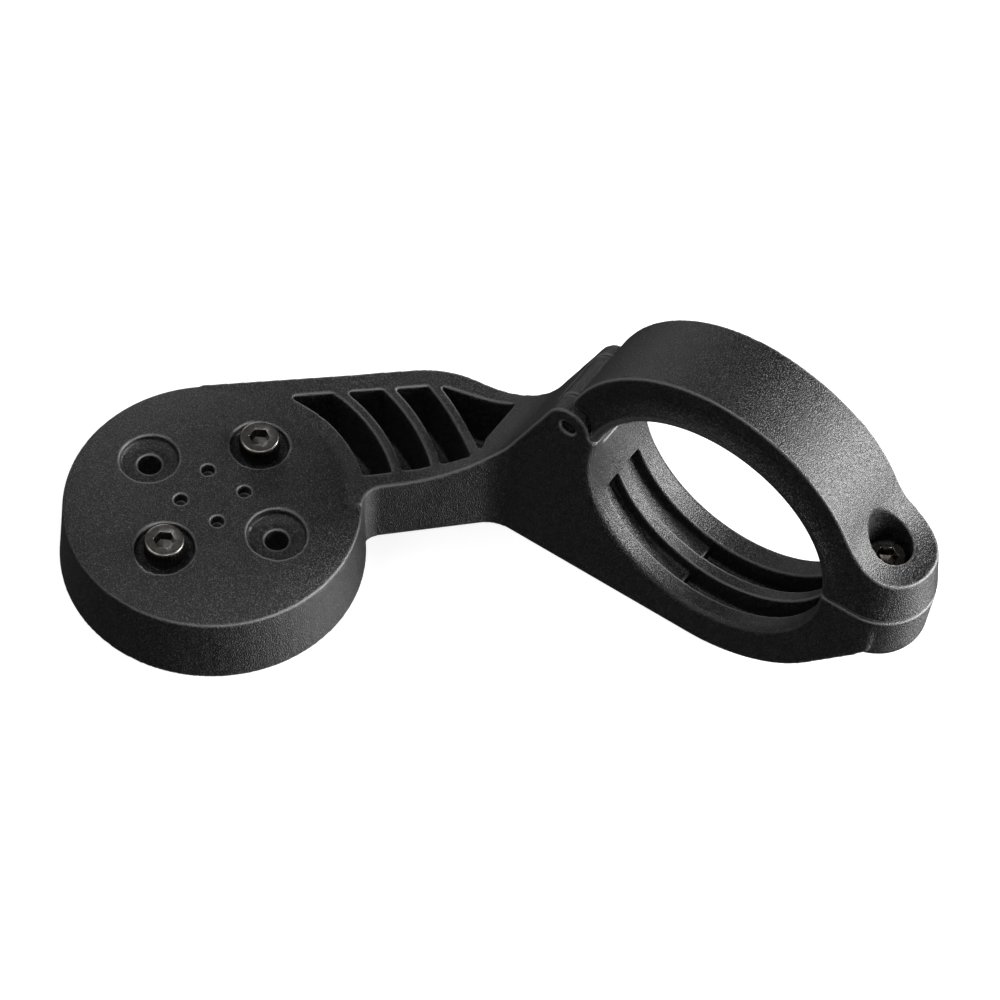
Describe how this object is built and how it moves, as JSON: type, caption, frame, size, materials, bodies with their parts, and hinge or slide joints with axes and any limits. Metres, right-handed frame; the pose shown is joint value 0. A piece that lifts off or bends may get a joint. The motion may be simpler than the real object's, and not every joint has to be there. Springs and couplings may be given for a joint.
{
  "type": "out-front handlebar mount for a cycling computer",
  "caption": "Offset out-front handlebar mount: hinged bar clamp with its bolt, ribbed arm, and a round platform with a quarter-turn socket for a cycling computer.",
  "frame": {"origin": "middle of the handlebar bore, on its axis", "axes": "+X from the device platform back over the bar towards the clamp bolt, +Y along the handlebar, +Z out of the mount's underside (the mount is drawn underside up)"},
  "size_m": [0.1092, 0.0614, 0.0473],
  "materials": {
    "nylon": "black glass-filled nylon with a fine spark-eroded grain",
    "insert_nylon": "black moulded nylon",
    "screw_steel": "black-oxide steel, worn grey on top",
    "bolt_steel": "dark polished steel",
    "pin_steel": "dark steel",
    "brass": "turned brass"
  },
  "bodies": {
    "mount": {"arm_body": "nylon", "hinge_pin": "pin_steel", "clamp_nut": "brass", "lock_insert": "insert_nylon", "platform_nut_near": "brass", "platform_nut_far": "brass", "platform_screw_near": "screw_steel", "platform_screw_far": "screw_steel"},
    "cap": {"clamp_cap": "nylon"},
    "bolt": {"clamp_bolt": "bolt_steel"}
  },
  "joints": [
    {"name": "cap_hinge", "type": "hinge", "parent": "mount", "child": "cap", "pos_m": [-0.0213, 0, 0.0048], "axis": [0, -1, 0], "range_deg": [0, 70]},
    {"name": "clamp_bolt_travel", "type": "slide", "parent": "cap", "child": "bolt", "axis": [0, 0, 1], "range_m": [0, 0.005]}
  ]
}
